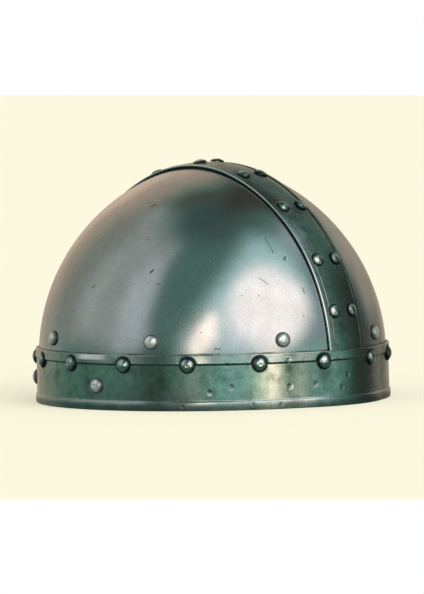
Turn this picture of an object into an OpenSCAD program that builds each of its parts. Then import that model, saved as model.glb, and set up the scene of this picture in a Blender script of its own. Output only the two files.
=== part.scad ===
// Riveted skull cap: two dished steel halves joined under a crest strap, a riveted brow band,
// and the leather lining inside. The front faces -Y, +Z is up, the band's lower edge is at Z = 0.
// Each half is turned about an upright axis a little beyond the seam, which makes the cap oval.
// Places round the cap are angles from the front, positive towards the wearer's left (+X).
// Side is -1 for the wearer's right and +1 for the left.

/* [Skull] */
// Outside width of the skull at its lower edge
skull_width = 216; // [204:1:230]
// Distance of each half's upright axis from the seam, on the far side of it
axis_shift = 6; // [2:0.5:9]
// Height up to which the wall stands upright
wall_height = 27; // [24:1:34]
// How much longer the radius of the flank is than the radius in plan
flank_extra = 10; // [4:1:30]
// Radius of the crown
crown_radius = 98; // [88:1:106]
// Thickness of the skull plate
skull_thick = 1.6; // [1.2:0.1:2.4]
// Height of the skull's lower edge above the band's lower edge
skull_rise = 3; // [1:0.5:6]
// Open seam between the two halves, hidden under the strap
seam_gap = 0.4; // [0.2:0.1:1.2]

/* [Crest strap] */
// Width of the strap
strap_width = 31.5; // [30:0.5:38]
// Thickness of the strap between its borders
strap_thick = 1.4; // [1:0.1:2]
// Width of each raised border of the strap
strap_border = 3.6; // [3:0.1:5]
// Height of the strap's borders over its middle
strap_border_rise = 0.5; // [0.2:0.1:1]
// Height of the strap's ends above the band's lower edge
strap_rise = 5; // [3:0.5:12]

/* [Brow band] */
// Height of the band
band_height = 34.6; // [31:0.2:42]
// Thickness of the band between its borders
band_thick = 1.4; // [1:0.1:2]
// Width of each raised border of the band
band_border = 5.4; // [3:0.1:6]
// Height of the band's borders over its middle
band_border_rise = 0.6; // [0.2:0.1:1]
// Slope of the step from a border down to the middle, as run over rise
step_slope = 1.2; // [0.5:0.1:2]
// Bevel along the band's outer edges
band_bevel = 0.5; // [0.2:0.1:0.8]
// Half width of the bulge that carries the band over an end of the strap
bulge_half = 38; // [34:1:44]
// Gap where the band's two ends meet at the back, over the strap
band_gap = 0.4; // [0.2:0.1:1.5]

/* [Rivets] */
// Head diameter of the brow band, lining and chin rivets
brow_head_d = 9.6; // [8:0.2:11]
// Head height of the brow band, lining and chin rivets
brow_head_h = 2.8; // [1.6:0.1:3.5]
// Head diameter of the crest rivets
crest_head_d = 9; // [8:0.2:10]
// Head height of the crest rivets
crest_head_h = 2; // [1.6:0.1:3.2]
// Upright rim below the dome of every head and tail
head_rim = 0.4; // [0.2:0.1:0.8]
// Shank diameter
shank_d = 4.8; // [4:0.1:5.5]
// Diameter of the peened tail
tail_d = 7.6; // [6.6:0.1:8.4]
// Height of the peened tail
tail_h = 1.6; // [1:0.1:2]
// Rivets round the brow band
brow_count = 16; // [16:8:16]
// Height of the brow band rivets
brow_rivet_z = 28.2; // [26:0.2:29]
// Rivets that hold the lining
lining_count = 8; // [8:8:8]
// Height of the lining rivets
lining_rivet_z = 42.6; // [42:0.2:46]
// Height of the chin rivets
chin_rivet_z = 15.2; // [13:0.2:16]
// Place of the front chin rivet on each side
chin_front_angle = 89; // [84:1:94]
// Place of the rear chin rivet on each side
chin_rear_angle = 143; // [140:1:150]
// Distance of each crest row from the seam
crest_gauge = 7.9; // [7:0.1:9]
// Length over the crest from the apex to the second pair of rivets
crest_run_1 = 37; // [30:0.2:44]
// Length from the apex to the third pair
crest_run_2 = 74.8; // [66:0.2:84]
// Length from the apex to the fourth pair
crest_run_3 = 117; // [106:0.2:126]
// Length from the apex to the lowest pair
crest_run_4 = 149.8; // [142:0.2:154]

/* [Washers] */
// Outside diameter
washer_d = 12; // [11:0.5:13]
// Thickness
washer_thick = 1; // [0.6:0.1:1.5]

/* [Lining] */
// Thickness of the leather headband
headband_thick = 3; // [2:0.1:4]
// Height of the headband's lower edge
headband_low = 34.4; // [34:0.2:35]
// Height of the headband
headband_height = 15; // [13:0.5:15.5]
// Thickness of the leather tongues
tongue_thick = 2; // [1.4:0.1:3]
// How far a tongue's lower edge sits above the headband's
tongue_rise = 1; // [0.5:0.5:1.5]
// Radius of the dome that the tongues make above the headband
tongue_radius = 111; // [109:0.5:114]
// Open slit between neighbouring tongues
tongue_slit = 3; // [1:0.5:6]
// Distance of the tongues' tips from the middle of the crown
tongue_tip = 14; // [12:1:20]
// Rounding of a tip
tip_radius = 5; // [3:0.5:6]
// Lace hole in each tip
lace_hole_d = 4; // [3:0.5:5]

/* [Chin loops] */
// Width of the leather strip
loop_width = 15; // [12:0.5:16]
// Thickness of the leather strip
loop_thick = 2.6; // [2:0.1:3.4]
// Length of the strip that lies flat on the skull on each side of a rivet
loop_end = 9; // [8.5:0.5:12]

/* [Fits] */
// Gap between plates that lie on each other
plate_gap = 0.1; // [0.05:0.05:0.2]
// Gap between leather and what it lies on
soft_gap = 0.3; // [0.2:0.1:0.5]
// Radial clearance of a shank in steel
hole_clear = 0.1; // [0.05:0.05:0.2]
// Radial clearance of a shank in leather
leather_hole_clear = 0.4; // [0.3:0.1:0.8]
// Gap under a flat head or tail, which keeps its rim clear of the curved plate
seat_gap = 0.2; // [0.15:0.05:0.4]
// Radial clearance of the flat that is let into a border for a head
seat_clear = 0.3; // [0.2:0.1:0.5]

/* [Hidden] */
round_fn = 180;
rivet_fn = 48;
steel_polished = "#9a9f9e";
steel_dark = "#3f5a50";
rivet_steel = "#8d9793";
leather_brown = "#7a4a2a";
leather_tan = "#a9744a";
rad = 180 / PI;

// Radius of each half in plan at its lower edge
plan_radius = skull_width / 2 + axis_shift;
// Long enough to cut through the whole cap
reach = 4 * plan_radius;
// Profile of a half: upright wall, flank arc and crown arc, each tangent to the next
flank_radius = plan_radius + flank_extra;
flank_x = -flank_extra;
crown_centre_z = wall_height + sqrt(pow(flank_radius - crown_radius, 2) - pow(flank_x, 2));
crown_join = atan2(-flank_x, crown_centre_z - wall_height);
crown_join_r = crown_radius * sin(crown_join);
// Radius of the outer face about its axis, at a height on the wall or the flank
function skull_r(z) = z <= wall_height ? plan_radius
    : flank_x + sqrt(pow(flank_radius, 2) - pow(z - wall_height, 2));
// Rise of the outward normal above the horizontal there
function skull_slope(z) = z <= wall_height ? 0 : asin((z - wall_height) / flank_radius);
// Lean of the outward normal from the vertical at a distance from the axis
function skull_lean(r) = r <= crown_join_r ? asin(r / crown_radius) : asin((r - flank_x) / flank_radius);
function skull_z(r) = r <= crown_join_r ? crown_centre_z + crown_radius * cos(skull_lean(r))
    : wall_height + flank_radius * cos(skull_lean(r));

function unit(v) = v / norm(v);
function axis_of(side) = [-side * axis_shift, 0];

// A spot is a point on the skull's outer face, the outward normal there, and the band's lift off it
function wall_spot(angle, z) = let (
        axis = axis_of(sin(angle) < 0 ? -1 : 1),
        way = [sin(angle), -cos(angle)],
        r = skull_r(z),
        along = way * axis,
        point = way * (along + sqrt(r * r - axis_shift * axis_shift + along * along)),
        flat = (point - axis) / r,
        slope = skull_slope(z))
    [[point[0], point[1], z], [flat[0] * cos(slope), flat[1] * cos(slope), sin(slope)], 0];
// Crest spots lie at a run over the crest from the apex and x from the seam, way 1 in front, -1 behind
crown_run = crown_radius * crown_join / rad;
function crest_reach(run) = run <= crown_run ? crown_radius * sin(run / crown_radius * rad)
    : flank_x + flank_radius * sin(crown_join + (run - crown_run) / flank_radius * rad);
function crest_spot(run, x, way) = let (
        out = x - axis_of(sign(x))[0],
        y = -way * crest_reach(run),
        r = norm([out, y]),
        lean = skull_lean(r))
    [[x, y, skull_z(r)], [out / r * sin(lean), y / r * sin(lean), cos(lean)], 0];

crest_runs = [crest_run_1, crest_run_2, crest_run_3, crest_run_4];
function crest_row(x) = concat(
    [crest_spot(0, x, 1)],
    [for (run = crest_runs, way = [-1, 1]) crest_spot(run, x, way)]);

// Levels measured outwards from the skull's outer face
strap_in = plate_gap;
strap_out = strap_in + strap_thick;
strap_top = strap_out + strap_border_rise;
band_in = plate_gap;
band_out = band_in + band_thick;
headband_out = -skull_thick - soft_gap;
headband_in = headband_out - headband_thick;
headband_high = headband_low + headband_height;
tongue_out = headband_in - soft_gap;
tongue_in = tongue_out - tongue_thick;
// The tongues leave the parallel of the skull at the headband's upper edge
tongue_bend_r = flank_x + sqrt(pow(flank_radius + tongue_out, 2) - pow(headband_high - wall_height, 2));
tongue_centre_z = headband_high - sqrt(pow(tongue_radius, 2) - pow(tongue_bend_r, 2));
loop_out = -skull_thick - soft_gap;
loop_in = loop_out - loop_thick;
// A flat washer on a hollow face touches at its rim
washer_hollow = plan_radius - sqrt(pow(plan_radius, 2) - pow(washer_d / 2, 2));
lining_washer_level = tongue_in - soft_gap - washer_hollow;
chin_washer_level = loop_in - soft_gap - washer_hollow;

// Bulge of the band over the strap: an arc past the strap's corners to the bulge's ends
function wall_y(x, level) = sqrt(pow(plan_radius + level, 2) - pow(x + axis_shift, 2));
corner = [strap_width / 2, wall_y(strap_width / 2, strap_top) + 2 * plate_gap];
bulge_end = [bulge_half, wall_y(bulge_half, band_in)];
bulge_y = (bulge_end * bulge_end - corner * corner) / (2 * (bulge_end[1] - corner[1]));
bulge_r = norm(bulge_end - [0, bulge_y]);
// Distance from a point to the inner face of the bulge, along a level direction
function bulge_gap(from, out) = let (along = from * out)
    sqrt(along * along - from * from + bulge_r * bulge_r) - along;

// The rivets were set by eye: degrees by which each strays from even spacing, from the front to the back
brow_stray_right = [-0.3, -1.1, -0.4, -0.7, -0.1, -1.2, -2.5, 0.4];
brow_stray_left = [-1.1, -3.5, -0.8, 0.4, -0.9, 0.6, -1.5, 0.5];
lining_stray_right = [1.9, 0.9, 2.6, 0.8];
lining_stray_left = [-3.9, -1.2, 0.8, -1.6];
function stray(side, right, left, i) = side < 0 ? right[i % len(right)] : left[i % len(left)];
function brow_angle(side, i) =
    side * ((i + 0.5) * 360 / brow_count + stray(side, brow_stray_right, brow_stray_left, i));
// A shank beside the strap stands midway between the normals of the skull and of the bulge
function brow_spot(angle) = let (
        plain = wall_spot(angle, brow_rivet_z),
        x = plain[0][0],
        from = [x, plain[0][1] - sign(plain[0][1]) * bulge_y],
        out = unit(unit([plain[1][0], plain[1][1]]) + unit(from)))
    abs(x) > bulge_half ? [plain[0], plain[1], plan_radius - skull_r(brow_rivet_z)]
    : [plain[0], [out[0], out[1], 0], bulge_gap(from, out) - band_in];
function brow_spots(side) = [for (i = [0 : brow_count / 2 - 1]) brow_spot(brow_angle(side, i))];
function lining_angle(side, i) =
    side * ((i + 0.5) * 360 / lining_count + stray(side, lining_stray_right, lining_stray_left, i));
// Round the cap from the front by way of the wearer's left
lining_spots = concat(
    [for (i = [0 : lining_count / 2 - 1]) wall_spot(lining_angle(1, i), lining_rivet_z)],
    [for (i = [lining_count / 2 - 1 : -1 : 0]) wall_spot(lining_angle(-1, i), lining_rivet_z)]);
function chin_spots(side) = [
    wall_spot(side * chin_front_angle, chin_rivet_z),
    wall_spot(side * chin_rear_angle, chin_rivet_z)];
all_brow = concat(brow_spots(-1), brow_spots(1));
all_chin = concat(chin_spots(-1), chin_spots(1));

// Half outline of the dome at an offset from the skull's outer face
module dome_outline(off) {
    // The line through both centres meets the two arcs where they join
    far = [-flank_x * reach, crown_centre_z + (crown_centre_z - wall_height) * reach];
    square([plan_radius + off, wall_height]);
    intersection() {
        translate([flank_x, wall_height]) circle(r = flank_radius + off, $fn = round_fn);
        polygon([[0, wall_height], [reach, wall_height], [reach, reach], far, [0, crown_centre_z]]);
    }
    intersection() {
        translate([0, crown_centre_z]) circle(r = crown_radius + off, $fn = round_fn);
        polygon([[0, crown_centre_z], far, [0, far[1]]]);
    }
}

// Keeps what lies on one side of the seam, from a distance off it
module half_space(side, from = 0) {
    translate([side > 0 ? from : -from - reach, -reach, -reach]) cube([reach, 2 * reach, 2 * reach]);
}

// Keeps a slab of a given width astride the seam
module crest_slab(width) {
    translate([-width / 2, -reach, -reach]) cube([width, 2 * reach, 2 * reach]);
}

// Turns a half outline about the axis of one side
module side_turn(side) {
    translate(axis_of(side))
    rotate([0, 0, 90 + 90 * side])
    rotate_extrude($fn = round_fn)
    children();
}

// Plate on one side between two offsets from the skull's outer face
module side_plate(side, inner, outer, low, high = reach) {
    difference() {
        side_turn(side) cut_outline(outer, low, high);
        side_turn(side) cut_outline(inner, low - plan_radius, high + plan_radius);
    }
}

// What both sides' turns of a half outline share, which has a soft ridge over the seam
module both_turns() {
    intersection() {
        side_turn(-1) children();
        side_turn(1) children();
    }
}

// Half outline of the dome at an offset, cut off between two heights
module cut_outline(off, low, high) {
    intersection() {
        dome_outline(off);
        translate([0, low]) square([plan_radius + off, high - low]);
    }
}

// Plate over both sides between two offsets from the skull's outer face
module whole_plate(inner, outer, low, high = reach) {
    difference() {
        both_turns() cut_outline(outer, low, high);
        both_turns() cut_outline(inner, low - plan_radius, high + plan_radius);
    }
}

// Places children at a spot with their +Z along the outward normal
module at_spot(spot) {
    n = spot[1];
    translate(spot[0]) rotate([0, acos(n[2]), atan2(n[1], n[0])]) children();
}

// Shank holes at a list of spots
module shank_holes(spots, clear) {
    for (spot = spots)
        at_spot(spot) cylinder(d = shank_d + 2 * clear, h = 3 * washer_d, center = true, $fn = rivet_fn);
}

// Flats let into a border so that the heads sit on the plate's middle level
module head_flats(spots, level, head_d) {
    for (spot = spots)
        at_spot(spot)
        translate([0, 0, level + spot[2]])
        cylinder(d = head_d + 2 * seat_clear, h = washer_d, $fn = rivet_fn);
}

// Half outline of a low dome on a short rim
module cap_outline(d, h) {
    rise = h - head_rim;
    ball = (pow(d / 2, 2) + pow(rise, 2)) / (2 * rise);
    square([d / 2, head_rim]);
    intersection() {
        translate([0, h - ball]) circle(r = ball, $fn = round_fn);
        translate([0, head_rim]) square([d / 2, rise]);
    }
}

// Rivet with the flats of its head and its tail at two levels
module rivet(head_d, head_h, head_level, tail_level) {
    rotate_extrude($fn = rivet_fn) {
        translate([0, head_level]) cap_outline(head_d, head_h);
        translate([0, tail_level]) mirror([0, 1]) cap_outline(tail_d, tail_h);
        translate([0, tail_level]) square([shank_d / 2, head_level - tail_level]);
    }
}

// Flat washer that hangs inwards from a level
module washer(level) {
    translate([0, 0, level - washer_thick])
    difference() {
        cylinder(d = washer_d, h = washer_thick, $fn = rivet_fn);
        cylinder(d = shank_d + 2 * hole_clear, h = 4 * washer_thick, center = true, $fn = rivet_fn);
    }
}

module skull_half(side) {
    color(steel_polished)
    difference() {
        intersection() {
            side_plate(side, -skull_thick, 0, skull_rise);
            half_space(side, seam_gap / 2);
        }
        shank_holes(crest_row(side * crest_gauge), hole_clear);
        shank_holes(brow_spots(side), hole_clear);
        shank_holes(chin_spots(side), hole_clear);
        shank_holes([for (spot = lining_spots) if (spot[0][0] * side > 0) spot], hole_clear);
    }
}

module skull_half_right() {
    skull_half(-1);
}

module skull_half_left() {
    skull_half(1);
}

module crest_strap() {
    rows = concat(crest_row(-crest_gauge), crest_row(crest_gauge));
    color(steel_dark)
    difference() {
        intersection() {
            whole_plate(strap_in, strap_top, strap_rise);
            crest_slab(strap_width);
        }
        intersection() {
            whole_plate(strap_out, 2 * strap_top, strap_rise - plan_radius);
            crest_slab(strap_width - 2 * strap_border);
        }
        shank_holes(rows, hole_clear);
        head_flats(rows, strap_out, crest_head_d);
    }
}

// Half section of the band, filled to the axis: raised borders, sloped steps, bevelled edges
module band_section(middle_r) {
    top_r = middle_r + band_border_rise;
    step = step_slope * band_border_rise;
    polygon([
        [0, 0], [top_r - band_bevel, 0], [top_r, band_bevel], [top_r, band_border],
        [middle_r, band_border + step], [middle_r, band_height - band_border - step],
        [top_r, band_height - band_border], [top_r, band_height - band_bevel],
        [top_r - band_bevel, band_height], [0, band_height]]);
}

// Turns the first section round the whole cap and the second into the bulges
module band_turn() {
    both_turns() children(0);
    for (way = [-1, 1])
        translate([0, way * bulge_y])
        rotate([0, 0, -90 * way])
        rotate_extrude($fn = round_fn)
        children(1);
}

module brow_band() {
    color(steel_dark)
    difference() {
        band_turn() {
            band_section(plan_radius + band_out);
            band_section(bulge_r + band_thick);
        }
        translate([0, 0, -band_height])
        band_turn() {
            square([plan_radius + band_in, 3 * band_height]);
            square([bulge_r, 3 * band_height]);
        }
        translate([-band_gap / 2, 0, -band_height]) cube([band_gap, reach, 3 * band_height]);
        shank_holes(all_brow, hole_clear);
        shank_holes(all_chin, hole_clear);
        head_flats(all_brow, band_out, brow_head_d);
    }
}

module crest_rivets(side) {
    color(rivet_steel)
    for (spot = crest_row(side * crest_gauge))
        at_spot(spot)
        rivet(crest_head_d, crest_head_h, strap_out + seat_gap, -skull_thick - seat_gap);
}

module crest_rivets_right() {
    crest_rivets(-1);
}

module crest_rivets_left() {
    crest_rivets(1);
}

module brow_rivets(side) {
    color(rivet_steel)
    for (spot = brow_spots(side))
        at_spot(spot)
        rivet(brow_head_d, brow_head_h, band_out + spot[2] + seat_gap, -skull_thick - seat_gap);
}

module brow_rivets_right() {
    brow_rivets(-1);
}

module brow_rivets_left() {
    brow_rivets(1);
}

module lining_rivets() {
    color(rivet_steel)
    for (spot = lining_spots)
        at_spot(spot)
        rivet(brow_head_d, brow_head_h, seat_gap, lining_washer_level - washer_thick - plate_gap);
}

module lining_washers() {
    color(rivet_steel)
    for (spot = lining_spots)
        at_spot(spot) washer(lining_washer_level);
}

module chin_rivets() {
    color(rivet_steel)
    for (spot = all_chin)
        at_spot(spot)
        rivet(brow_head_d, brow_head_h, band_out + seat_gap, chin_washer_level - washer_thick - plate_gap);
}

module chin_washers() {
    color(rivet_steel)
    for (spot = all_chin)
        at_spot(spot) washer(chin_washer_level);
}

// Leather strip round the inside, its ends meeting at the back
module lining_headband() {
    color(leather_brown)
    difference() {
        whole_plate(headband_in, headband_out, headband_low, headband_high);
        translate([-soft_gap, 0, 0]) cube([2 * soft_gap, reach, reach]);
        shank_holes(lining_spots, leather_hole_clear);
    }
}

// Dome of the tongues on one side, which bends off the skull so that they stand clear at the crown
module tongue_dome(side, off, low) {
    side_turn(side)
    intersection() {
        dome_outline(off);
        translate([0, tongue_centre_z]) circle(r = tongue_radius + off - tongue_out, $fn = round_fn);
        translate([0, low]) square(reach);
    }
}

// Plan of one tongue along +X: straight sides that clear its neighbours, and a rounded tip
module tongue_plan() {
    half_angle = 180 / lining_count;
    nose = tongue_slit / 2 / sin(half_angle);
    spread = (reach - nose) * tan(half_angle);
    difference() {
        intersection() {
            polygon([[nose, 0], [reach, spread], [reach, -spread]]);
            union() {
                translate([tongue_tip + tip_radius, 0]) circle(r = tip_radius, $fn = rivet_fn);
                translate([tongue_tip + tip_radius, -reach]) square([reach, 2 * reach]);
            }
        }
        translate([tongue_tip + 2 * tip_radius, 0]) circle(d = lace_hole_d, $fn = rivet_fn);
    }
}

// One leather tongue, riveted at its foot over the headband, its tip short of the crown
module lining_tongue(number) {
    angle = (number - 0.5) * 360 / lining_count;
    side = sin(angle) < 0 ? -1 : 1;
    foot = headband_low + tongue_rise;
    color(leather_tan)
    difference() {
        intersection() {
            difference() {
                tongue_dome(side, tongue_out, foot);
                tongue_dome(side, tongue_in, foot - tongue_thick);
            }
            rotate([0, 0, angle - 90]) linear_extrude(height = reach) tongue_plan();
        }
        shank_holes([lining_spots[number - 1]], leather_hole_clear);
    }
}

// Leather strip whose ends lie flat on the skull round the two chin rivets and whose middle spans straight
module chin_loop(side) {
    spots = chin_spots(side);
    low = chin_rivet_z - loop_width / 2;
    outer_r = plan_radius + loop_out;
    turn = asin(loop_end / outer_r);
    // Plan angles about this side's axis at which the straight stretch starts and ends
    from = atan2(spots[0][1][1], spots[0][1][0]) + side * turn;
    to = atan2(spots[1][1][1], spots[1][1][0]) - side * turn;
    start = axis_of(side) + outer_r * [cos(from), sin(from)];
    run = axis_of(side) + outer_r * [cos(to), sin(to)] - start;
    color(leather_brown)
    difference() {
        union() {
            for (spot = spots)
                intersection() {
                    side_plate(side, loop_in, loop_out, low, low + loop_width);
                    translate(spot[0])
                    rotate([0, 0, atan2(spot[1][1], spot[1][0])])
                    cube([4 * loop_end, 2 * loop_end, reach], center = true);
                }
            translate([start[0], start[1], low])
            rotate([0, 0, atan2(run[1], run[0])])
            translate([0, side > 0 ? 0 : -loop_thick, 0])
            cube([norm(run), loop_thick, loop_width]);
        }
        shank_holes(spots, leather_hole_clear);
    }
}

module chin_loop_right() {
    chin_loop(-1);
}

module chin_loop_left() {
    chin_loop(1);
}

skull_half_right();
skull_half_left();
crest_strap();
brow_band();
crest_rivets_right();
crest_rivets_left();
brow_rivets_right();
brow_rivets_left();
lining_rivets();
lining_washers();
chin_rivets();
chin_washers();
lining_headband();
lining_tongue(1);  // lining_tongue_1
lining_tongue(2);  // lining_tongue_2
lining_tongue(3);  // lining_tongue_3
lining_tongue(4);  // lining_tongue_4
lining_tongue(5);  // lining_tongue_5
lining_tongue(6);  // lining_tongue_6
lining_tongue(7);  // lining_tongue_7
lining_tongue(8);  // lining_tongue_8
chin_loop_right();
chin_loop_left();
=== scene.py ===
import math
import bpy
import numpy as np
from mathutils import Matrix, Vector, noise


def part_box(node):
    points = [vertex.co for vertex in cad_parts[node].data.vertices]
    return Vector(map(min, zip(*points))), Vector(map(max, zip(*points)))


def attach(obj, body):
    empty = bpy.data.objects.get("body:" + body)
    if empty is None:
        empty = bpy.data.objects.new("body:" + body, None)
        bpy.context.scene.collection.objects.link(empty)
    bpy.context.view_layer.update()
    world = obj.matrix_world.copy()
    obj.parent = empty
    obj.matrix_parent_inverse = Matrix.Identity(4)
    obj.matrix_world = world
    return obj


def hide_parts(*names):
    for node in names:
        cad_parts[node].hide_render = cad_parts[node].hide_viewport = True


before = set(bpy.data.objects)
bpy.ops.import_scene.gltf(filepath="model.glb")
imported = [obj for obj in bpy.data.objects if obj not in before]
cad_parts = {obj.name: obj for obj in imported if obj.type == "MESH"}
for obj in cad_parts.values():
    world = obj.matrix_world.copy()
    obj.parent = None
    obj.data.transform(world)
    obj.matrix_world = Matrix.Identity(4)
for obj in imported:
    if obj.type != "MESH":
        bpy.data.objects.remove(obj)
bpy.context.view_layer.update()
print("frame loaded:", len(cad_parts), "nodes")

mm = 0.001
halfTurn = math.pi


# Small helpers
def hexColour(text):
    parts = [int(text[i:i + 2], 16) / 255 for i in (1, 3, 5)]
    return [c / 12.92 if c <= 0.04045 else ((c + 0.055) / 1.055) ** 2.4 for c in parts] + [1.0]


# Each input gets a plain value, a socket, or a node, of which the first output counts
def feed(node, inputs):
    for name, value in inputs.items():
        if isinstance(value, bpy.types.Node):
            value = value.outputs[0]
        if isinstance(value, bpy.types.NodeSocket):
            node.id_data.links.new(value, node.inputs[name])
        else:
            node.inputs[name].default_value = value


def addNode(tree, kind, inputs=None, **settings):
    node = tree.nodes.new(kind)
    for name, value in settings.items():
        setattr(node, name, value)
    feed(node, inputs or {})
    return node


def deselectAll():
    if bpy.context.object and bpy.context.object.mode != "OBJECT":
        bpy.ops.object.mode_set(mode="OBJECT")
    bpy.ops.object.select_all(action="DESELECT")


def pick(piece):
    deselectAll()
    piece.select_set(True)
    bpy.context.view_layer.objects.active = piece


def applyAll(piece):
    pick(piece)
    for modifier in list(piece.modifiers):
        bpy.ops.object.modifier_apply(modifier=modifier.name)
    bpy.ops.object.transform_apply(location=True, rotation=True, scale=True)


def editMesh(piece, *steps):
    pick(piece)
    bpy.ops.object.mode_set(mode="EDIT")
    for step in steps:
        bpy.ops.mesh.select_all(action="SELECT")
        step()
    bpy.ops.object.mode_set(mode="OBJECT")


def keepBeyond(point, normal):
    bpy.ops.mesh.bisect(plane_co=point, plane_no=normal, clear_inner=True)


def mergeDoubles():
    bpy.ops.mesh.remove_doubles(threshold=0.01 * mm)


def facesOut():
    bpy.ops.mesh.normals_make_consistent(inside=False)


def joinPieces(pieces, name):
    deselectAll()
    for piece in pieces:
        piece.select_set(True)
    bpy.context.view_layer.objects.active = pieces[0]
    if len(pieces) > 1:
        bpy.ops.object.join()
    joined = bpy.context.object
    joined.name = name
    joined.data.name = name
    return joined


def smoothShade(piece, angle=40):
    pick(piece)
    bpy.ops.object.shade_smooth_by_angle(angle=math.radians(angle))


def finishPiece(piece, material, slot, *nodes):
    applyAll(piece)
    piece.data.materials.clear()
    piece.data.materials.append(material)
    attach(piece, "root")
    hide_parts(*nodes)
    return piece


def vertexArray(piece, what="co"):
    values = np.empty(len(piece.data.vertices) * 3)
    piece.data.vertices.foreach_get(what, values)
    return values.reshape(-1, 3)


def loopVertices(mesh):
    corners = np.empty(len(mesh.loops), int)
    mesh.loops.foreach_get("vertex_index", corners)
    return corners


def setVertices(piece, co):
    piece.data.vertices.foreach_set("co", np.ascontiguousarray(co, float).ravel())
    piece.data.update()


# One number for each vertex, which a material reads by its name
def setValues(piece, name, values):
    layer = piece.data.attributes.new(name, "FLOAT", "POINT")
    layer.data.foreach_set("value", np.ascontiguousarray(values, float).ravel())


# A sheet of rows by columns points, laid over a plain grid; its UV map is in metres along both ways
def wrapGrid(name, points, closed=False, **values):
    rows, columns = points.shape[:2]
    deselectAll()
    bpy.ops.mesh.primitive_grid_add(x_subdivisions=columns - 1, y_subdivisions=rows - 1, size=1)
    piece = bpy.context.object
    piece.name = name
    setVertices(piece, points.reshape(-1, 3) * mm)
    along = np.linalg.norm(np.diff(points[:, 0], axis=0), axis=1)
    across = np.linalg.norm(np.diff(points[0], axis=0), axis=1)
    v = np.concatenate([[0], np.cumsum(along)]) * mm
    u = np.concatenate([[0], np.cumsum(across)]) * mm
    loops = loopVertices(piece.data)
    uv = np.stack([u[loops % columns], v[loops // columns]], 1)
    piece.data.uv_layers[0].data.foreach_set("uv", uv.ravel())
    for key, value in values.items():
        setValues(piece, key, np.broadcast_to(value, (rows, columns)))
    if closed:
        editMesh(piece, mergeDoubles, closeEnds, facesOut)
    return piece


def closeEnds():
    bpy.ops.mesh.select_all(action="DESELECT")
    bpy.ops.mesh.select_mode(type="EDGE")
    bpy.ops.mesh.select_non_manifold(extend=False, use_wire=False, use_multi_face=False,
                                     use_non_contiguous=False, use_verts=False)
    bpy.ops.mesh.edge_face_add()
    bpy.ops.mesh.select_mode(type="VERT")


def smoothStep(low, high, value):
    t = np.clip((value - low) / (high - low), 0, 1)
    return t * t * (3 - 2 * t)


# Bell curve, full where the distance is zero
def bell(distance, wide):
    return np.exp(-(distance / wide) ** 2)


# The cap's form, in mm: each half is turned about an axis a little beyond the seam
cap = dict(axisShift=6, wallTop=27, flankExtra=10, crownRadius=98)
skullLow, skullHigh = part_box("skull_half_left")
cap["planRadius"] = round(skullHigh.x / mm, 1) + cap["axisShift"]
cap["flankRadius"] = cap["planRadius"] + cap["flankExtra"]
cap["crownZ"] = cap["wallTop"] + math.sqrt(
    (cap["flankRadius"] - cap["crownRadius"]) ** 2 - cap["flankExtra"] ** 2)
cap["joinLean"] = math.atan2(cap["flankExtra"], cap["crownZ"] - cap["wallTop"])
cap["joinRadius"] = cap["crownRadius"] * math.sin(cap["joinLean"])


# Height of the outer face and lean of its normal from the vertical, at a distance from the axis
def capHeight(r):
    crown = np.sqrt(np.maximum(cap["crownRadius"] ** 2 - r * r, 0)) + cap["crownZ"]
    flank = np.sqrt(np.maximum(cap["flankRadius"] ** 2 - (r + cap["flankExtra"]) ** 2, 0))
    return np.where(r <= cap["joinRadius"], crown, flank + cap["wallTop"])


def capLean(r):
    crown = np.arcsin(np.clip(r / cap["crownRadius"], 0, 1))
    flank = np.arcsin(np.clip((r + cap["flankExtra"]) / cap["flankRadius"], 0, 1))
    return np.where(r <= cap["joinRadius"], crown, flank)


# Distance from the middle of the helmet, in a direction from the front, to a distance r from a half's axis
def planReach(angle, r):
    along = -cap["axisShift"] * np.abs(np.sin(angle))
    return along + np.sqrt(r * r - cap["axisShift"] ** 2 + along * along)


def wallReach(angle, level=0.0):
    return planReach(angle, cap["planRadius"] + level)


# Points at an angle from the front, a distance from the middle of the helmet, and a height
def roundPoints(angle, reach, z):
    return np.stack(np.broadcast_arrays(np.sin(angle) * reach, -np.cos(angle) * reach, z), -1)


# Distance from a half's axis to the flank, at a height and level
def flankReach(z, level=0.0):
    return np.sqrt((cap["flankRadius"] + level) ** 2 - (z - cap["wallTop"]) ** 2) - cap["flankExtra"]


def onCap(x, y):
    return Vector((x, y, float(capHeight(np.hypot(abs(x) + cap["axisShift"], y)))))


# Materials
def newMaterial(name):
    material = bpy.data.materials.new(name)
    material.use_nodes = True
    tree = material.node_tree
    return material, tree, tree.nodes["Principled BSDF"]


# Coats of colour over one another: where each shows, its colour, and how it mixes with what lies under it
def layCoats(tree, colour, *coats):
    for where, coat, blend in coats:
        coat = hexColour(coat) if isinstance(coat, str) else coat
        mixed = addNode(tree, "ShaderNodeMix", {0: where, 6: colour, 7: coat},
                        data_type="RGBA", blend_type=blend)
        colour = mixed.outputs[2]
    return colour


def noiseField(tree, coordinates, size, detail=2.0, roughness=0.5, low=0.35, high=0.65):
    field = addNode(tree, "ShaderNodeTexNoise", {"Vector": coordinates, "Scale": 1 / (size * mm),
                                                 "Detail": detail, "Roughness": roughness})
    return addNode(tree, "ShaderNodeMapRange", {"Value": field, "From Min": low, "From Max": high})


# Full wherever one of several masks is
def biggest(tree, masks):
    field = masks[0]
    for mask in masks[1:]:
        field = addNode(tree, "ShaderNodeMath", {0: field, 1: mask}, operation="MAXIMUM")
    return field


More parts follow.
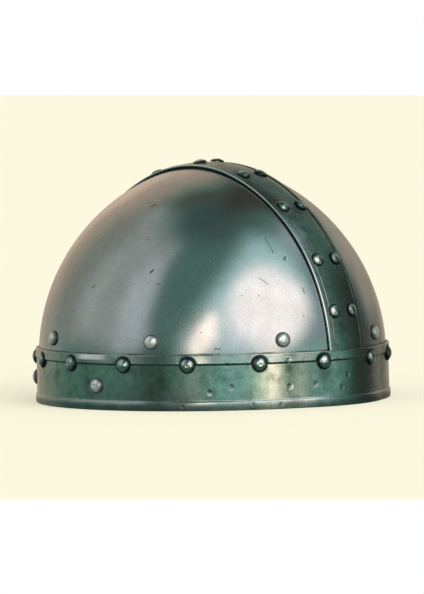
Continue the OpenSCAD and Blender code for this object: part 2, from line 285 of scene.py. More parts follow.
# Full where a pit or a scratch lies on the skull, from the distance to points and short lines
def markField(tree, here, marks):
    spots = []
    for start, end, wide in marks:
        run = (onCap(*end) - onCap(*start)) * mm
        away = addNode(tree, "ShaderNodeVectorMath", {0: here, 1: onCap(*start) * mm}, operation="SUBTRACT")
        if run.length > 0:
            share = addNode(tree, "ShaderNodeVectorMath", {0: away, 1: run / run.length_squared},
                            operation="DOT_PRODUCT")
            kept = addNode(tree, "ShaderNodeClamp", {"Value": share.outputs["Value"]})
            foot = addNode(tree, "ShaderNodeVectorMath", {0: run, "Scale": kept}, operation="SCALE")
            away = addNode(tree, "ShaderNodeVectorMath", {0: away, 1: foot}, operation="SUBTRACT")
        distance = addNode(tree, "ShaderNodeVectorMath", {0: away}, operation="LENGTH")
        spots.append(addNode(tree, "ShaderNodeMapRange", {
            "Value": distance.outputs["Value"], "From Min": wide * mm, "From Max": wide * mm * 0.4}))
    return biggest(tree, spots)


# Rust pits and scratches on the skull: from and to in plan, half width, in mm
skullMarks = [((-88.9, -30.3), (-87.6, -31.5), 0.8), ((-97.6, 11.2), (-97.2, 9.9), 0.7),
              ((-78.5, -18.7), (-78.5, -18.7), 0.7), ((-60.4, -6.1), (-58.6, -8), 0.9),
              ((-34.0, -76.6), (-34.2, -84.0), 0.35), ((-29.8, -89.1), (-28.3, -88.6), 0.9),
              ((-79.8, -74.3), (-77.3, -77.1), 0.45), ((-25.4, -101.3), (-25.6, -100), 0.4),
              ((-49.3, -85.5), (-45.8, -89.7), 0.22), ((-53.4, -88.1), (-53.4, -88.1), 0.55),
              ((-30.1, -104.3), (-30.1, -104.3), 0.5), ((-81.3, -65.5), (-81.3, -65.5), 0.5),
              ((-79.0, 21.0), (-78.2, 22.4), 0.5), ((-90, -37.5), (-89.4, -38.6), 0.5),
              ((44, -87), (47, -83), 0.35), ((88, 20), (88, 20), 0.7), ((72, 60), (75, 57), 0.4),
              ((-52, 74), (-52, 74), 0.7), ((30, 96), (34, 94), 0.35), ((61, -40), (61, -40), 0.6)]


# Painted shade in the corners beside the strap and above the band: distance from the middle and height
# where it starts and is full, in mm, and how dark it lies above the band
cornerShade = dict(strapFrom=16.5, strapFull=15.9, bandFrom=35.8, bandFull=35.0, bandMost=0.75)


# Satin-polished mild steel: broad soft reflections, a fine grain left by the abrasive, dark rust pits
def satinSteel():
    material, tree, steel = newMaterial("satinPolishedSteel")
    here = addNode(tree, "ShaderNodeTexCoord").outputs["Object"]
    haze = noiseField(tree, here, size=30, detail=4, roughness=0.6)
    grain = noiseField(tree, here, size=0.9, detail=3, roughness=0.7)  # grit 0.1 mm, coarsened to show
    mottle = noiseField(tree, here, size=9, detail=4, roughness=0.7, low=0.3, high=0.7)
    pits = addNode(tree, "ShaderNodeTexVoronoi", {"Vector": here, "Scale": 1 / (9 * mm), "Randomness": 1.0})
    pitSpot = addNode(tree, "ShaderNodeMapRange", {"Value": pits.outputs["Distance"],
                                                   "From Min": 0.07, "From Max": 0.035})
    pitWhere = noiseField(tree, here, size=26, low=0.52, high=0.6)
    pit = addNode(tree, "ShaderNodeMath", {0: pitSpot, 1: pitWhere}, operation="MULTIPLY")
    bare = biggest(tree, [pit, markField(tree, here, skullMarks)])
    apart = addNode(tree, "ShaderNodeSeparateXYZ", {"Vector": here})
    beside = addNode(tree, "ShaderNodeMath", {0: apart.outputs["X"]}, operation="ABSOLUTE")
    beside = addNode(tree, "ShaderNodeMapRange", {
        "Value": beside, "From Min": cornerShade["strapFrom"] * mm, "From Max": cornerShade["strapFull"] * mm})
    above = addNode(tree, "ShaderNodeMapRange", {
        "Value": apart.outputs["Z"], "From Min": cornerShade["bandFrom"] * mm,
        "From Max": cornerShade["bandFull"] * mm, "To Max": cornerShade["bandMost"]})
    broken = noiseField(tree, here, size=16, detail=3, low=0.25, high=0.6)
    above = addNode(tree, "ShaderNodeMath", {0: above, 1: broken}, operation="MULTIPLY")
    # painted shade, darkest beside the strap and above the band
    corner = biggest(tree, [beside, above])
    inside = addNode(tree, "ShaderNodeAttribute", attribute_name="inside").outputs["Fac"]
    forgeScale = layCoats(tree, hexColour("#6a655f"), (mottle, "#4b4642", "MIX"))  # left on inside
    colour = layCoats(tree, hexColour("#d8dadb"),
                      (haze, "#ccd0d0", "MIX"), (mottle, "#f4f1ef", "MULTIPLY"),
                      (grain, "#ececea", "MULTIPLY"), (bare, "#7d7f78", "MIX"), (corner, "#2c2f2c", "MIX"),
                      (inside, forgeScale, "MIX"))
    rough = addNode(tree, "ShaderNodeMapRange", {"Value": haze, "To Min": 0.16, "To Max": 0.21})
    rougher = addNode(tree, "ShaderNodeMath", {0: biggest(tree, [bare, corner]), 1: 0.35,
                                               2: rough}, operation="MULTIPLY_ADD")
    dull = addNode(tree, "ShaderNodeMath", {0: inside, 1: 0.3, 2: rougher}, operation="MULTIPLY_ADD")
    fine = addNode(tree, "ShaderNodeBump", {"Height": grain, "Strength": 0.1, "Distance": 0.015 * mm})
    deep = addNode(tree, "ShaderNodeBump", {"Height": bare, "Strength": 1.0, "Distance": 0.06 * mm,
                                            "Normal": fine}, invert=True)
    feed(steel, {"Base Color": colour, "Metallic": 1.0, "Roughness": dull, "Normal": deep})
    return material


# Oil-blackened mild steel, worn back to a dull grey: darker than the skull, blotched, rubbed bright and
# painted with highlights on its edges, painted black as shade in its corners and dents, dark where stained
def blackenedSteel():
    material, tree, steel = newMaterial("oilBlackenedSteel")
    here = addNode(tree, "ShaderNodeTexCoord").outputs["Object"]
    patina = noiseField(tree, here, size=26, detail=4, roughness=0.6)
    grain = noiseField(tree, here, size=1.1, detail=3, roughness=0.7)
    blotch = noiseField(tree, here, size=14, detail=5, roughness=0.65, low=0.52, high=0.7)
    mottle = noiseField(tree, here, size=4, detail=3, roughness=0.6)
    speck = noiseField(tree, here, size=2.2, detail=2, roughness=0.6, low=0.7, high=0.78)
    grime = addNode(tree, "ShaderNodeAttribute", attribute_name="grime").outputs["Fac"]
    wear = addNode(tree, "ShaderNodeAttribute", attribute_name="wear").outputs["Fac"]
    # the last two coats: bright for rubbed edges and painted highlights, dark for painted shade and stains
    colour = layCoats(tree, hexColour("#cdd6d1"),
                      (patina, "#b9c3be", "MIX"), (grain, "#e6e9e7", "MULTIPLY"),
                      (mottle, "#dfe4e1", "MULTIPLY"), (blotch, "#77827c", "MIX"), (speck, "#dfe4e0", "MIX"),
                      (wear, "#f2f4f2", "MIX"), (grime, "#2b312e", "MIX"))
    rough = addNode(tree, "ShaderNodeMapRange", {"Value": patina, "To Min": 0.15, "To Max": 0.22})
    rougher = addNode(tree, "ShaderNodeMath", {0: grime, 1: 0.3, 2: rough}, operation="MULTIPLY_ADD")
    fine = addNode(tree, "ShaderNodeBump", {"Height": grain, "Strength": 0.12, "Distance": 0.015 * mm})
    feed(steel, {"Base Color": colour, "Metallic": 1.0, "Roughness": rougher, "Normal": fine})
    return material


# Forged iron rivet, its head rubbed bright: small sharp highlights over a rim painted dark as shade;
# the film is the thin grey oxide that dulls a rivet nobody rubs, as on the skull
def brightIron(name, light, dark, smooth, rim, film):
    material, tree, steel = newMaterial(name)
    here = addNode(tree, "ShaderNodeTexCoord").outputs["Object"]
    tarnish = noiseField(tree, here, size=3.5, detail=3, roughness=0.6)
    grime = addNode(tree, "ShaderNodeAttribute", attribute_name="grime").outputs["Fac"]
    # the rim colour is painted shade round the head's edge
    colour = layCoats(tree, hexColour(light), (tarnish, dark, "MIX"), (grime, rim, "MIX"))
    rough = addNode(tree, "ShaderNodeMapRange", {"Value": tarnish, "To Min": smooth, "To Max": smooth + 0.07})
    rougher = addNode(tree, "ShaderNodeMath", {0: grime, 1: 0.25, 2: rough}, operation="MULTIPLY_ADD")
    bump = addNode(tree, "ShaderNodeBump", {"Height": tarnish, "Strength": 0.25, "Distance": 0.04 * mm})
    feed(steel, {"Base Color": colour, "Metallic": 1 - film, "Roughness": rougher, "Normal": bump})
    return material


# Vegetable-tanned cow leather: warm brown, darker where hands and sweat reached it, fine pores and
# creases, its cut edges burnished (attribute "wear")
def tannedLeather(name, light, dark, burnished):
    material, tree, hide = newMaterial(name)
    here = addNode(tree, "ShaderNodeTexCoord").outputs["Object"]
    stain = noiseField(tree, here, size=28, detail=4, roughness=0.6, high=0.68)
    pores = addNode(tree, "ShaderNodeTexVoronoi",
                    {"Vector": here, "Scale": 1 / (1.1 * mm), "Randomness": 1.0})
    creases = noiseField(tree, here, size=4.5, detail=5, roughness=0.75, low=0.3, high=0.7)
    edge = addNode(tree, "ShaderNodeAttribute", attribute_name="wear").outputs["Fac"]
    colour = layCoats(tree, hexColour(light), (stain, dark, "MIX"), (creases, "#d9d2ca", "MULTIPLY"),
                      (edge, burnished, "MIX"))
    rough = addNode(tree, "ShaderNodeMapRange", {"Value": creases, "To Min": 0.5, "To Max": 0.68})
    wide = addNode(tree, "ShaderNodeBump", {"Height": creases, "Strength": 0.5, "Distance": 0.25 * mm})
    fine = addNode(tree, "ShaderNodeBump", {"Height": pores.outputs["Distance"], "Strength": 0.4,
                                            "Distance": 0.08 * mm, "Normal": wide})
    feed(hide, {"Base Color": colour, "Roughness": rough, "IOR": 1.5, "Normal": fine})
    return material


skullSteel = satinSteel()
darkSteel = blackenedSteel()
darkRivets = brightIron("oilBlackenedRivetIron", "#dfe4e1", "#b4beb9", smooth=0.06, rim="#1f2422", film=0)
brightRivets = brightIron("rubbedRivetIron", "#f0efec", "#dedfdc", smooth=0.1, rim="#5b5f5b", film=0.22)
harnessLeather = tannedLeather("harnessLeather", light="#6f4a2d", dark="#573822", burnished="#3a2415")
tongueLeather = tannedLeather("tongueLeather", light="#b08455", dark="#946a41", burnished="#6b4627")

# Skull: two dished halves
skull = dict(thick=1.6, seamGap=0.4, arcSteps=360, turnSteps=360, unevenness=0.3, unevenSize=46)


def skullHalf(side, name, node):
    axis = -side * cap["axisShift"] * mm
    crownCentre = Vector((axis, 0, cap["crownZ"] * mm))
    flankCentre = Vector((axis - side * cap["flankExtra"] * mm, 0, cap["wallTop"] * mm))
    line = (crownCentre - flankCentre).normalized()
    above = Vector((-side * line.z, 0, abs(line.x)))  # square to the line through both centres
    deselectAll()
    bpy.ops.mesh.primitive_circle_add(vertices=skull["arcSteps"], radius=cap["crownRadius"] * mm,
                                      location=crownCentre, rotation=(halfTurn / 2, 0, 0))
    crown = bpy.context.object
    applyAll(crown)
    editMesh(crown, lambda: keepBeyond(crownCentre, (side, 0, 0)), lambda: keepBeyond(crownCentre, above))
    deselectAll()
    bpy.ops.mesh.primitive_circle_add(vertices=skull["arcSteps"], radius=cap["flankRadius"] * mm,
                                      location=flankCentre, rotation=(halfTurn / 2, 0, 0))
    flank = bpy.context.object
    applyAll(flank)

    def addWall():
        bpy.ops.mesh.select_all(action="DESELECT")
        bpy.ops.object.mode_set(mode="OBJECT")
        low = min(flank.data.vertices, key=lambda v: v.co.z)
        low.select = True
        bpy.ops.object.mode_set(mode="EDIT")
        bpy.ops.mesh.extrude_region_move(
            TRANSFORM_OT_translate={"value": (0, 0, skullLow.z - cap["wallTop"] * mm)})
    editMesh(flank, lambda: keepBeyond(flankCentre, (0, 0, 1)),
             lambda: keepBeyond(crownCentre, -above), addWall)
    half = joinPieces([crown, flank], name)
    seam = (side * skull["seamGap"] / 2 * mm, 0, 0)
    editMesh(half, mergeDoubles,
             lambda: bpy.ops.mesh.spin(steps=skull["turnSteps"], angle=2 * halfTurn,
                                       center=(axis, 0, 0), axis=(0, 0, 1)),
             mergeDoubles, lambda: keepBeyond(seam, (side, 0, 0)), facesOut)
    uneven = bpy.data.textures.new(name + "Beaten", "CLOUDS")
    uneven.noise_scale = skull["unevenSize"] * mm
    half.modifiers.new("beaten", "DISPLACE")
    half.modifiers["beaten"].texture = uneven
    half.modifiers["beaten"].strength = skull["unevenness"] * mm
    wall = half.modifiers.new("wall", "SOLIDIFY")
    wall.thickness = skull["thick"] * mm
    wall.offset = -1
    wall.use_even_offset = True
    applyAll(half)
    co = vertexArray(half)
    facing = (vertexArray(half, "normal") * (co - [0, 0, cap["wallTop"] * mm])).sum(axis=1)
    setValues(half, "inside", facing < 0)
    smoothShade(half)
    return finishPiece(half, skullSteel, "skull_steel", node)


skullHalf(-1, "skullRight", "skull_half_right")
skullHalf(1, "skullLeft", "skull_half_left")
print("skull halves made")

# Crest strap: a raised border along both edges, with a fine step down to a middle that is a little sunk
strap = dict(width=31.5, plate=1.4, border=3.6, rise=0.5, gap=0.1, low=5, soften=9, step=0.35, stepPast=0.05,
             groove=0.15, grooveWide=0.35, edgeRound=0.65, fineFrom=1.2, fineTo=0.6, sideRow=0.75,
             turnFrom=20, turnTo=100, rows=300, grimeWide=0.5, dull=0.12, wearIn=0.3, wearWide=0.35)


# Closed outline of the strap's section: places across it, and levels over the skull
def strapSection():
    half = strap["width"] / 2
    outer = strap["gap"] + strap["plate"]
    inside = half - strap["border"]
    bend = strap["edgeRound"]
    fineFrom = inside - strap["fineFrom"]
    fineTo = inside + strap["fineTo"]
    xs = np.concatenate([np.linspace(0, fineFrom, 11)[:-1], np.linspace(fineFrom, fineTo, 13)[:-1],
                         np.linspace(fineTo, half - bend, 5)])
    level = outer + strap["rise"] * smoothStep(inside - strap["step"], inside + strap["stepPast"], xs)
    level -= strap["groove"] * bell(xs - inside + strap["step"], strap["grooveWide"])
    turn = np.linspace(0, halfTurn / 2, 7)[1:]
    xs = np.concatenate([xs, half - bend + bend * np.sin(turn), [half, half]])
    level = np.concatenate([level, outer + strap["rise"] - bend + bend * np.cos(turn),
                            [strap["sideRow"], strap["gap"]]])
    xs = np.concatenate([-xs[::-1], xs[1:]])
    level = np.concatenate([level[::-1], level[1:]])
    return np.append(xs, xs[0]), np.append(level, level[0])


# The strap runs from end to end over the crown; its top is rounded where it crosses the seam's keel
def strapPoints():
    xs, level = strapSection()
    shift = cap["axisShift"]
    crownRun = cap["crownRadius"] * cap["joinLean"]
    flankEnd = crownRun + cap["flankRadius"] * (halfTurn / 2 - cap["joinLean"])
    total = flankEnd + cap["wallTop"] - strap["low"]
    run = np.linspace(-total, total, strap["rows"])
    away = np.abs(run)
    flankLean = np.minimum(cap["joinLean"] + (away - crownRun) / cap["flankRadius"], halfTurn / 2)
    reach = np.where(away <= crownRun, cap["crownRadius"] * np.sin(away / cap["crownRadius"]),
                     -cap["flankExtra"] + cap["flankRadius"] * np.sin(flankLean))
    middleY = reach * math.sqrt(cap["planRadius"] ** 2 - shift ** 2) / cap["planRadius"]
    drop = np.maximum(away - flankEnd, 0)[:, None]
    # Rows run straight over the crown, level round the wall
    settle = smoothStep(strap["turnFrom"], strap["turnTo"], middleY)[:, None]
    x = np.broadcast_to(xs, (len(run), len(xs)))
    soft = strap["soften"]
    rounded = (np.abs(x) < soft) & (level > strap["gap"] + 0.01)[None, :]
    bent = np.where(rounded, x * x / (2 * soft) + soft / 2, np.abs(x))
    slope = np.where(rounded, x / soft, np.sign(x))
    out2 = (bent + shift) ** 2
    y2 = (middleY ** 2)[:, None] - settle * (out2 - shift ** 2)
    y = np.sqrt(np.maximum(y2, 0)) * -np.sign(run)[:, None]
    r = np.minimum(np.sqrt(out2 + y * y), cap["planRadius"])
    lean = np.where(drop > 0, halfTurn / 2, capLean(r))
    normal = np.stack([slope * (bent + shift) / r * np.sin(lean), y / r * np.sin(lean), np.cos(lean)], -1)
    normal /= np.linalg.norm(normal, axis=-1, keepdims=True)
    return np.stack([x, y, capHeight(r) - drop], -1) + normal * level[None, :, None]


def crestStrap():
    xs, level = strapSection()
    outer = strap["gap"] + strap["plate"]
    inside = strap["width"] / 2 - strap["border"]
    # Painted shade in the groove at each border's step and on the lower side walls by the skull; the sunk
    # middle is painted a little darker; a painted highlight runs along the outer corners, as on rubbed edges
    foldShade = bell(np.abs(xs) - inside + strap["step"] * 0.7, strap["grimeWide"])
    grime = np.maximum(foldShade, smoothStep(outer - 0.1, outer - 0.5, level))
    grime = np.maximum(grime, strap["dull"] * (np.abs(xs) < inside))
    wear = bell(np.abs(xs) - strap["width"] / 2 + strap["wearIn"], strap["wearWide"]) * (level > outer)
    piece = wrapGrid("crestStrap", strapPoints(), closed=True, grime=grime[None, :], wear=wear[None, :])
    smoothShade(piece, angle=50)
    return finishPiece(piece, darkSteel, "dark_steel", "crest_strap")


crestStrap()
print("crest strap made")

# Brow band: bulges over the strap's ends, raised rounded borders, dents from use
band = dict(height=34.6, plate=1.4, gap=0.1, border=5.4, rise=0.6, pillow=0.22, step=0.8, stepIn=0.15,
            topRise=0.12, lean=0.38, edgeRound=0.5, fineRows=1.8, sideRow=0.8, bulgeHalf=38, cornerRoom=0.2,
            splitGap=0.4, soften=0.9, cell=0.7, seatD=10.4)
# Dents: angle from the front, height, diameter, depth
dents = [(-48.9, 11.3, 3.8, 0.5), (-57.7, 2.8, 3, 0.3), (-43, 27.9, 3.6, 0.35), (-41.8, 14.3, 4.2, 0.35),
         (-22.8, 13.5, 4.2, 0.45), (-23.3, 29.6, 4, 0.4), (-35.2, 3.6, 3.6, 0.35), (-25.8, 2.9, 3.6, 0.4),
         (-14.1, 14.3, 3.8, 0.42), (-1.9, 19.1, 3.4, 0.35), (-4.5, 11.5, 3.6, 0.35), (61, 17, 3.8, 0.4),
         (107, 9.5, 3.6, 0.35), (152, 20.5, 4, 0.4), (-128, 22, 3.6, 0.35), (-161, 12, 4, 0.4),
         (33, 9, 3.6, 0.35)]
# Dark stains: angle, height, half width, half height, darkness
stains = [(-67, 9, 10, 11, 0.5), (-58, 5, 9, 8, 0.45), (97, 16, 15, 9, 0.35), (168, 12, 14, 10, 0.4),
          (-140, 15, 12, 9, 0.35)]
# A place that hands have rubbed, painted bright as a highlight: its angle, half width where it is full and
# gone, height on the upper border where it starts and is full, and how far it is hollowed, from which height
rubbedHighlightPlace = dict(angle=-91.5, full=3, gone=8, low=1.2, high=3.2, hollow=0.22, hollowFrom=2.2)
# How dark the band is painted: shade in the upper border's fold, round rivets and in dents, and
# darker over the lower half and at the rim
bandShade = dict(foldShade=0.85, foldWide=0.42, lower=0.13, lowerTop=18, lowerFull=7, rim=0.4, rimTop=4.8,
                 rimFull=2.5, seat=0.9, dent=0.25)
# How bright the lower border's edge and the upper border are painted, as wear and highlight
bandWearAndHighlight = dict(edge=0.3, edgeWide=0.7, upper=0.05)
# A dent's hollow and the rim pushed up round it, in half diameters, and their shares of its depth
dentForm = dict(outside=1.05, floor=0.45, darkFloor=0.6, rimAt=1.1, rimWide=0.2, hollow=0.5, rim=0.1)


# Rows of points round the skull, a cell apart, and the way out from each
def bandPlan():
    strapHalf = strap["width"] / 2
    shift = cap["axisShift"]
    strapTop = strap["gap"] + strap["plate"] + strap["rise"]
    cornerY = math.sqrt((cap["planRadius"] + strapTop) ** 2 - (strapHalf + shift) ** 2)
    corner = (strapHalf, cornerY + band["cornerRoom"])
    end = (band["bulgeHalf"],
           math.sqrt((cap["planRadius"] + band["gap"]) ** 2 - (band["bulgeHalf"] + shift) ** 2))
    bulgeY = (end[0] ** 2 + end[1] ** 2 - corner[0] ** 2 - corner[1] ** 2) / (2 * (end[1] - corner[1]))
    bulgeR = math.hypot(end[0], end[1] - bulgeY)
    start = math.asin(band["splitGap"] / 2 / cap["planRadius"])
    fine = np.linspace(-halfTurn + start, halfTurn - start, 20001)
    wall = wallReach(fine, band["gap"])
    forward = np.abs(np.cos(fine)) * bulgeY
    bulge = forward + np.sqrt(bulgeR ** 2 - bulgeY ** 2 + forward ** 2)
    soft = band["soften"]
    reach = np.maximum(wall, bulge) + np.maximum(soft - np.abs(wall - bulge), 0) ** 2 / (4 * soft)
    plan = np.stack([np.sin(fine) * reach, -np.cos(fine) * reach], 1)
    length = np.concatenate([[0], np.cumsum(np.linalg.norm(np.diff(plan, axis=0), axis=1))])
    count = int(length[-1] / band["cell"])
    even = np.linspace(0, length[-1], count)
    plan = np.stack([np.interp(even, length, plan[:, i]) for i in (0, 1)], 1)
    way = np.gradient(plan, axis=0)
    way /= np.linalg.norm(way, axis=1, keepdims=True)
    return plan, np.stack([way[:, 1], -way[:, 0]], 1)


# The lower border is rounded, the upper one leans in towards the skull
def bandOuterLevel(z):
    outer = band["gap"] + band["plate"]
    border = band["border"]
    low = smoothStep(border + band["step"], border - 0.1, z)
    pillow = band["pillow"] * (1 - ((z - border / 2) / (border / 2)) ** 2)
    top = z - (band["height"] - border)
    high = smoothStep(-band["stepIn"] - band["step"], -band["stepIn"], top)
    leaning = band["rise"] + band["topRise"] - band["lean"] * np.clip(top / (border - 0.4), 0, 1.1)
    return outer + low * (band["rise"] + np.maximum(pillow, -0.1)) + high * leaning


# Closed outline of the band's section: heights, and levels over its inner face
def bandSection():
    bend = band["edgeRound"]
    height = band["height"]
    fine = band["border"] + band["fineRows"]
    turn = np.linspace(0, halfTurn / 2, 5)
    borderRows = np.linspace(bend, fine, 20)[1:]
    faceZ = np.concatenate([borderRows, np.linspace(fine, height - fine, 32)[1:-1],
                            height - borderRows[::-1]])
    faceLevel = bandOuterLevel(faceZ)
    lowZ = bend - bend * np.cos(turn)
    lowLevel = faceLevel[0] - bend + bend * np.sin(turn)
    highLevel = faceLevel[-1] - bend + bend * np.sin(turn[::-1])
    innerZ = np.linspace(height, 0, 6)[1:]
    z = np.concatenate([[0, 0], lowZ, faceZ, height - lowZ[::-1], [height, height], innerZ])
    level = np.concatenate([[band["gap"], band["sideRow"]], lowLevel, faceLevel, highLevel,
                            [band["sideRow"], band["gap"]], np.full(len(innerZ), band["gap"])])
    return z, level - band["gap"]


def browBand():
    plan, out = bandPlan()
    z, section = bandSection()
    level = np.broadcast_to(section, (len(plan), len(z))).copy()
    onFace = section > band["plate"] - 0.4
    top = z - (band["height"] - band["border"])
    angle = np.arctan2(plan[:, 0], -plan[:, 1])

    # Distance of each point from a place on the band: in mm, or in half sizes of what lies there
    def apart(placeAngle, placeZ, wide=1, high=1):
        along = (angle - placeAngle)[:, None] * cap["planRadius"]
        return np.hypot(along / wide, (z - placeZ)[None, :] / high)
    # Painted shade in the upper border's fold; painted darker over the lower half and at the rim
    foldShade = bandShade["foldShade"] * bell(top + band["stepIn"] + band["step"] / 2, bandShade["foldWide"])
    low = bandShade["lower"] * smoothStep(bandShade["lowerTop"], bandShade["lowerFull"], z) \
        + bandShade["rim"] * smoothStep(bandShade["rimTop"], bandShade["rimFull"], z)
    grime = np.broadcast_to(np.maximum(foldShade, low) * onFace, level.shape)
    # Painted highlights along the lower border's edge and, faintly, on the upper border
    edge = bandWearAndHighlight["edge"] * bell(z - band["border"] + 0.1, bandWearAndHighlight["edgeWide"])
    wear = (edge + bandWearAndHighlight["upper"] * (top > 0.3)) * onFace
    # A place rubbed and painted bright as a highlight, also hollowed so that its border leans
    away = np.abs(np.degrees(angle) - rubbedHighlightPlace["angle"])
    rubbedHighlight = smoothStep(rubbedHighlightPlace["gone"], rubbedHighlightPlace["full"], away)[:, None] \
        * smoothStep(rubbedHighlightPlace["low"], rubbedHighlightPlace["high"], top)[None, :] * onFace
    level -= rubbedHighlightPlace["hollow"] * rubbedHighlight * np.maximum(top - rubbedHighlightPlace["hollowFrom"], 0)
    wear = np.maximum(wear, rubbedHighlight)
    seat = band["seatD"] / 2
    for place in rivetPlaces("brow_rivets_right") + rivetPlaces("brow_rivets_left"):
        distance = apart(math.atan2(place["apex"][0], -place["apex"][1]), place["apex"][2])
        letIn = smoothStep(seat + 0.6, seat, distance) * onFace
        level -= letIn * np.maximum(level - band["plate"], 0)
        # Painted shade round the rivet's seat
        dark = bandShade["seat"] * smoothStep(seat + 0.5, seat - 0.3, distance)
        grime = np.maximum(grime, dark * onFace)
    for dentAngle, dentZ, wide, deep in dents:
        part = apart(math.radians(dentAngle), dentZ, wide / 2, wide / 2)
        hollow = smoothStep(dentForm["outside"], dentForm["floor"], part) * deep * dentForm["hollow"]
        rim = bell(part - dentForm["rimAt"], dentForm["rimWide"]) * deep * dentForm["rim"]
        level += (rim - hollow) * onFace
        # Painted shade in the dent's hollow
        dark = bandShade["dent"] * smoothStep(dentForm["outside"], dentForm["darkFloor"], part)
        grime = np.maximum(grime, dark * onFace)
    for spotAngle, spotZ, wide, high, darkness in stains:
        dark = darkness * smoothStep(1.3, 0.3, apart(math.radians(spotAngle), spotZ, wide, high))
        grime = np.maximum(grime, dark * onFace)
    points = np.empty((len(plan), len(z), 3))
    points[:, :, :2] = plan[:, None, :] + out[:, None, :] * level[:, :, None]
    points[:, :, 2] = z
    piece = wrapGrid("browBand", points, closed=True, grime=grime, wear=wear * (1 - grime))
    smoothShade(piece, angle=50)
    return finishPiece(piece, darkSteel, "dark_steel", "brow_band")


# Apex, outward axis and length of each rivet in a CAD node, read from its solids
def rivetPlaces(node):
    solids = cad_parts[node]
    keys, same = np.unique(np.round(vertexArray(solids) / mm, 3), axis=0, return_inverse=True)
    corners = same.reshape(-1)[loopVertices(solids.data)].reshape(-1, 3)
    label = np.arange(len(keys))
    while True:
        low = label[corners].min(axis=1)
        fresh = label.copy()
        for i in range(3):
            np.minimum.at(fresh, corners[:, i], low)
        if (fresh == label).all():
            break
        label = fresh
    places = []
    for one in np.unique(label[corners[:, 0]]):
        tris = keys[corners[label[corners[:, 0]] == one]]
        cross = np.cross(tris[:, 1] - tris[:, 0], tris[:, 2] - tris[:, 0])
        area = np.linalg.norm(cross, axis=1)
        cross, area = cross[area > 0], area[area > 0]
        spread, ways = np.linalg.eigh((cross / area[:, None]).T @ cross)
        axis = ways[:, 2] if spread[1] - spread[0] < spread[2] - spread[1] else ways[:, 0]
        points = tris.reshape(-1, 3)
        middle = (points.min(0) + points.max(0)) / 2
        if axis @ (middle - [0, 0, 30]) < 0:
            axis = -axis
        along = points @ axis
        high = points[along > along.max() - 0.02].mean(0)
        places.append({"apex": high, "axis": axis, "length": along.max() - along.min()})
    return places


browBand()
print("brow band made")

# Rivets: low dome on a short rim, shank, and a peened tail inside
rivets = dict(crestHead=(9, 2), browHead=(9.6, 2.8), rim=0.4, tailD=7.6, tailH=1.6, shankD=4.8, dimple=0.4,
              dimpleRound=0.85, beaten=0.05, beatSize=0.45, rimShade=0.95, rimShadeFrom=1.9, rimShadeFull=0.3,
              backDirt=0.6)


# A rivet along Z with its head's rim at zero, and a stack of plates 1 mm thick between head and tail
def rivetMaster(headD, headH):
    rise = headH - rivets["rim"]
    ball = ((headD / 2) ** 2 + rise ** 2) / (2 * rise)
    deselectAll()
    bpy.ops.mesh.primitive_uv_sphere_add(segments=40, ring_count=56, radius=ball * mm,
                                         location=(0, 0, (headH - ball) * mm))
    master = bpy.context.object
    applyAll(master)
    editMesh(master, lambda: keepBeyond((0, 0, rivets["rim"] * mm), (0, 0, 1)))

    def ring(height, diameter, last):
        lift = (0, 0, (height - last[0]) * mm)
        bpy.ops.mesh.extrude_region_move(TRANSFORM_OT_translate={"value": lift})
        share = diameter / last[1]
        bpy.ops.transform.resize(value=(share, share, 1), center_override=(0, 0, height * mm))
        return height, diameter

    def body():
        bpy.ops.mesh.select_all(action="DESELECT")
        bpy.ops.mesh.select_mode(type="EDGE")
        bpy.ops.mesh.select_non_manifold(extend=False)
        tailRise = rivets["tailH"] - rivets["rim"]
        last = (rivets["rim"], headD)
        steps = [(0.05, headD), (0, headD - 0.15), (0, rivets["shankD"]), (-1, rivets["shankD"]),
                 (-1, rivets["tailD"]), (-1 - rivets["rim"], rivets["tailD"])]
        for part in (0.35, 0.65, 0.85, 0.97):
            steps.append((-1 - rivets["rim"] - tailRise * part, rivets["tailD"] * math.sqrt(1 - part ** 2)))
        for height, diameter in steps:
            last = ring(height, diameter, last)
        bpy.ops.mesh.edge_face_add()
        bpy.ops.mesh.select_mode(type="VERT")
    editMesh(master, body, facesOut)
    co = vertexArray(master) / mm
    radius = np.hypot(co[:, 0], co[:, 1])
    # The head is painted dark towards its rim as shade; the shank and tail are darkened too
    rimShaded = smoothStep(headD / 2 - rivets["rimShadeFrom"], headD / 2 - rivets["rimShadeFull"], radius)
    setValues(master, "grime", np.where(co[:, 2] > 0.02, rivets["rimShade"] * rimShaded, rivets["backDirt"]))
    return master


def setRivets(name, node, head, material, dimpled=()):
    headD, headH = rivets[head]
    master = rivetMaster(headD, headH)
    base = vertexArray(master) / mm
    copies = []
    for i, place in enumerate(rivetPlaces(node)):
        copy = master.copy()
        copy.data = master.data.copy()
        bpy.context.collection.objects.link(copy)
        co = base.copy()
        stack = place["length"] - headH - rivets["tailH"]
        co[base[:, 2] < -0.5, 2] -= stack - 1
        radius = np.hypot(co[:, 0], co[:, 1])
        dome = co[:, 2] > rivets["rim"] + 0.01
        seed = Vector((i * 7.3, headD, 3.1))
        beat = np.array([noise.noise(Vector(p) * rivets["beatSize"] + seed) for p in co])
        co[dome, 2] += (beat * rivets["beaten"] * 2)[dome]
        if i in dimpled:
            co[dome, 2] -= rivets["dimple"] * bell(radius, rivets["dimpleRound"])[dome]
        turn = Vector(place["axis"]).to_track_quat("Z", "Y").to_matrix() @ Matrix.Rotation(i * 2.4, 3, "Z")
        origin = place["apex"] - headH * place["axis"]
        setVertices(copy, (co @ np.array(turn).T + origin) * mm)
        copies.append(copy)
    bpy.data.objects.remove(master)
    piece = joinPieces(copies, name)
    smoothShade(piece, angle=35)
    return finishPiece(piece, material, "rivet_steel", node)


